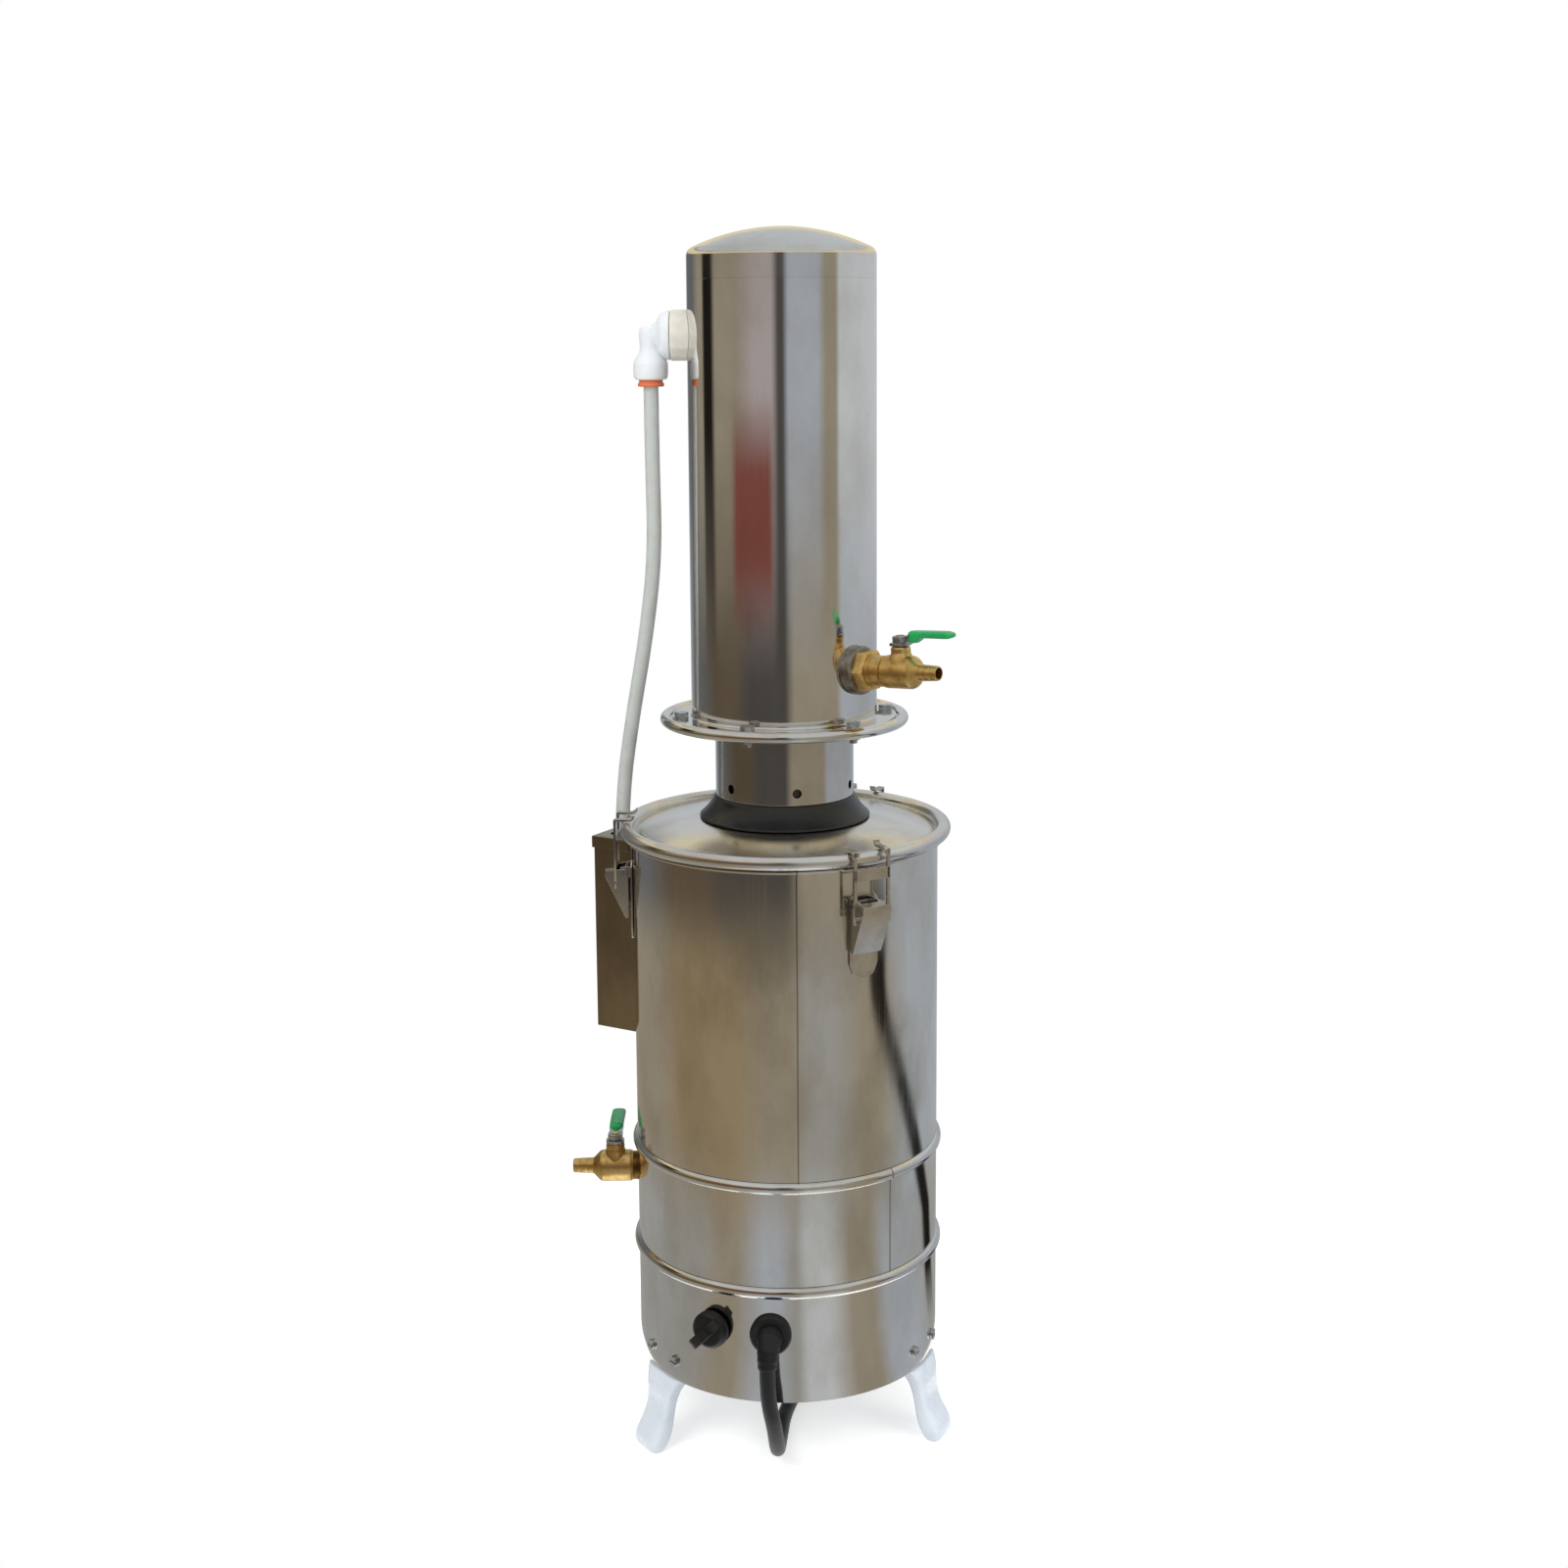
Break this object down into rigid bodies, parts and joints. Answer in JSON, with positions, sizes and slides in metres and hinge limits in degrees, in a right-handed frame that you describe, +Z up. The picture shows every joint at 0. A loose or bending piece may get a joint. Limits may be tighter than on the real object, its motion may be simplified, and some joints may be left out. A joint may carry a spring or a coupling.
{
  "type": "electric water distiller",
  "caption": "Tower-type electric water distiller: footed stainless boiler, latched lid, coil condenser column, feed box, ball valves and mains lead.",
  "frame": {"origin": "on the floor, under the boiler's axis", "axes": "+Z up along the boiler's axis; -Y is the front, where the control knob is; +X is to the right seen from the front"},
  "size_m": [0.2541, 0.3849, 0.7895],
  "materials": {
    "stainless": "polished stainless steel",
    "stainless_satin": "satin stainless steel, brownish reflections",
    "steel_zinc": "bright screws and nuts",
    "stainless_tube": "drawn stainless tube",
    "brass": "machined brass, lightly tarnished",
    "brass_ball": "plated ball",
    "handle_green": "steel strip with a glossy green sleeve",
    "foot_white": "white moulding with a cold tint",
    "black_plastic": "black moulded plastic",
    "cable_black": "black flexible cable sheath",
    "elbow_white": "white push-fit plastic",
    "collet_orange": "orange plastic",
    "hose_clear": "milky polyethylene tube",
    "silicone": "black silicone rubber",
    "phenolic": "dark phenolic",
    "element_sheath": "annealed steel sheath",
    "galvanised": "plain sheet"
  },
  "bodies": {
    "boiler": {"base_skirt": "stainless", "middle_band": "stainless", "boiler_pot": "stainless", "base_cover": "galvanised", "vessel_floor": "stainless", "foot_left": "foot_white", "foot_right": "foot_white", "foot_rear": "foot_white", "foot_screws": "steel_zinc", "switch_body": "phenolic", "cable_gland": "black_plastic", "strain_relief": "cable_black", "mains_cable": "cable_black", "cable_coil": "cable_black", "plug_body": "cable_black", "plug_pins": "brass", "terminal_block": "phenolic", "thermal_cutout": "phenolic", "heating_element": "element_sheath", "element_nuts": "brass", "drain_valve_body": "brass", "drain_valve_wall_nut": "brass", "latch_brackets": "stainless", "latch_pins": "steel_zinc", "feed_box": "stainless_satin", "feed_box_cover": "stainless_satin", "overflow_pipe": "stainless_tube", "lid": "stainless", "lid_gaskets": "silicone"},
    "condenser": {"condenser_collar": "stainless", "condenser_flange": "stainless", "flange_gasket": "silicone", "flange_bolts": "steel_zinc", "condenser_shell": "stainless", "dome_cap": "stainless", "steam_riser": "stainless_tube", "condenser_coil": "stainless_tube", "distillate_spout": "brass", "inlet_valve_body": "brass", "inlet_valve_wall_nut": "brass", "outlet_elbow": "elbow_white", "elbow_nut": "elbow_white", "cooling_hose": "hose_clear"},
    "inlet_handle": {"inlet_valve_ball": "brass_ball", "inlet_valve_stem": "brass", "inlet_valve_handle": "handle_green", "inlet_valve_nut": "steel_zinc"},
    "drain_handle": {"drain_valve_ball": "brass_ball", "drain_valve_stem": "brass", "drain_valve_handle": "handle_green", "drain_valve_nut": "steel_zinc"},
    "knob": {"switch_spindle": "steel_zinc", "switch_knob": "black_plastic"},
    "collet": {"elbow_collet": "collet_orange"},
    "lever_front": {"latch_lever_front": "stainless"},
    "bail_front": {"latch_bail_front": "stainless"},
    "lever_left": {"latch_lever_left": "stainless"},
    "bail_left": {"latch_bail_left": "stainless"},
    "lever_rear": {"latch_lever_rear": "stainless"},
    "bail_rear": {"latch_bail_rear": "stainless"}
  },
  "joints": [
    {"name": "condenser_lift", "type": "slide", "parent": "boiler", "child": "condenser", "axis": [0, 0, 1], "range_m": [0, 0.06]},
    {"name": "latch_lever_front_turn", "type": "hinge", "parent": "boiler", "child": "lever_front", "pos_m": [0.05034, -0.09272, 0.374], "axis": [-0.8788, -0.4772, 0], "range_deg": [0, 75]},
    {"name": "latch_bail_front_turn", "type": "hinge", "parent": "lever_front", "child": "bail_front", "pos_m": [0.05296, -0.09755, 0.368], "axis": [-0.8788, -0.4772, 0], "range_deg": [-105, 0]},
    {"name": "latch_lever_left_turn", "type": "hinge", "parent": "boiler", "child": "lever_left", "pos_m": [-0.10546, 0.00276, 0.374], "axis": [0.0262, 0.9997, 0], "range_deg": [0, 75]},
    {"name": "latch_bail_left_turn", "type": "hinge", "parent": "lever_left", "child": "bail_left", "pos_m": [-0.11096, 0.00291, 0.368], "axis": [0.0262, 0.9997, 0], "range_deg": [-105, 0]},
    {"name": "latch_lever_rear_turn", "type": "hinge", "parent": "boiler", "child": "lever_rear", "pos_m": [0.05512, 0.08995, 0.374], "axis": [0.8526, -0.5225, 0], "range_deg": [0, 75]},
    {"name": "latch_bail_rear_turn", "type": "hinge", "parent": "lever_rear", "child": "bail_rear", "pos_m": [0.058, 0.09464, 0.368], "axis": [0.8526, -0.5225, 0], "range_deg": [-105, 0]},
    {"name": "inlet_valve_turn", "type": "hinge", "parent": "condenser", "child": "inlet_handle", "pos_m": [0.07318, -0.06141, 0.51466], "axis": [-0.0468, 0.0392, 0.9981], "range_deg": [0, 90]},
    {"name": "drain_valve_turn", "type": "hinge", "parent": "boiler", "child": "drain_handle", "pos_m": [-0.1155, 0, 0.17], "axis": [0, 0, 1], "range_deg": [0, 90]},
    {"name": "switch_turn", "type": "hinge", "parent": "boiler", "child": "knob", "pos_m": [-0.04741, -0.08805, 0.0963], "axis": [-0.4741, -0.8805, 0], "range_deg": [-90, 0]},
    {"name": "collet_push", "type": "slide", "parent": "condenser", "child": "collet", "axis": [0, 0, 1], "range_m": [0, 0.0015]}
  ],
  "couplings": [
    {"joint": "latch_bail_front_turn", "follows": "latch_lever_front_turn", "ratio": -1.4},
    {"joint": "latch_bail_left_turn", "follows": "latch_lever_left_turn", "ratio": -1.4},
    {"joint": "latch_bail_rear_turn", "follows": "latch_lever_rear_turn", "ratio": -1.4}
  ]
}
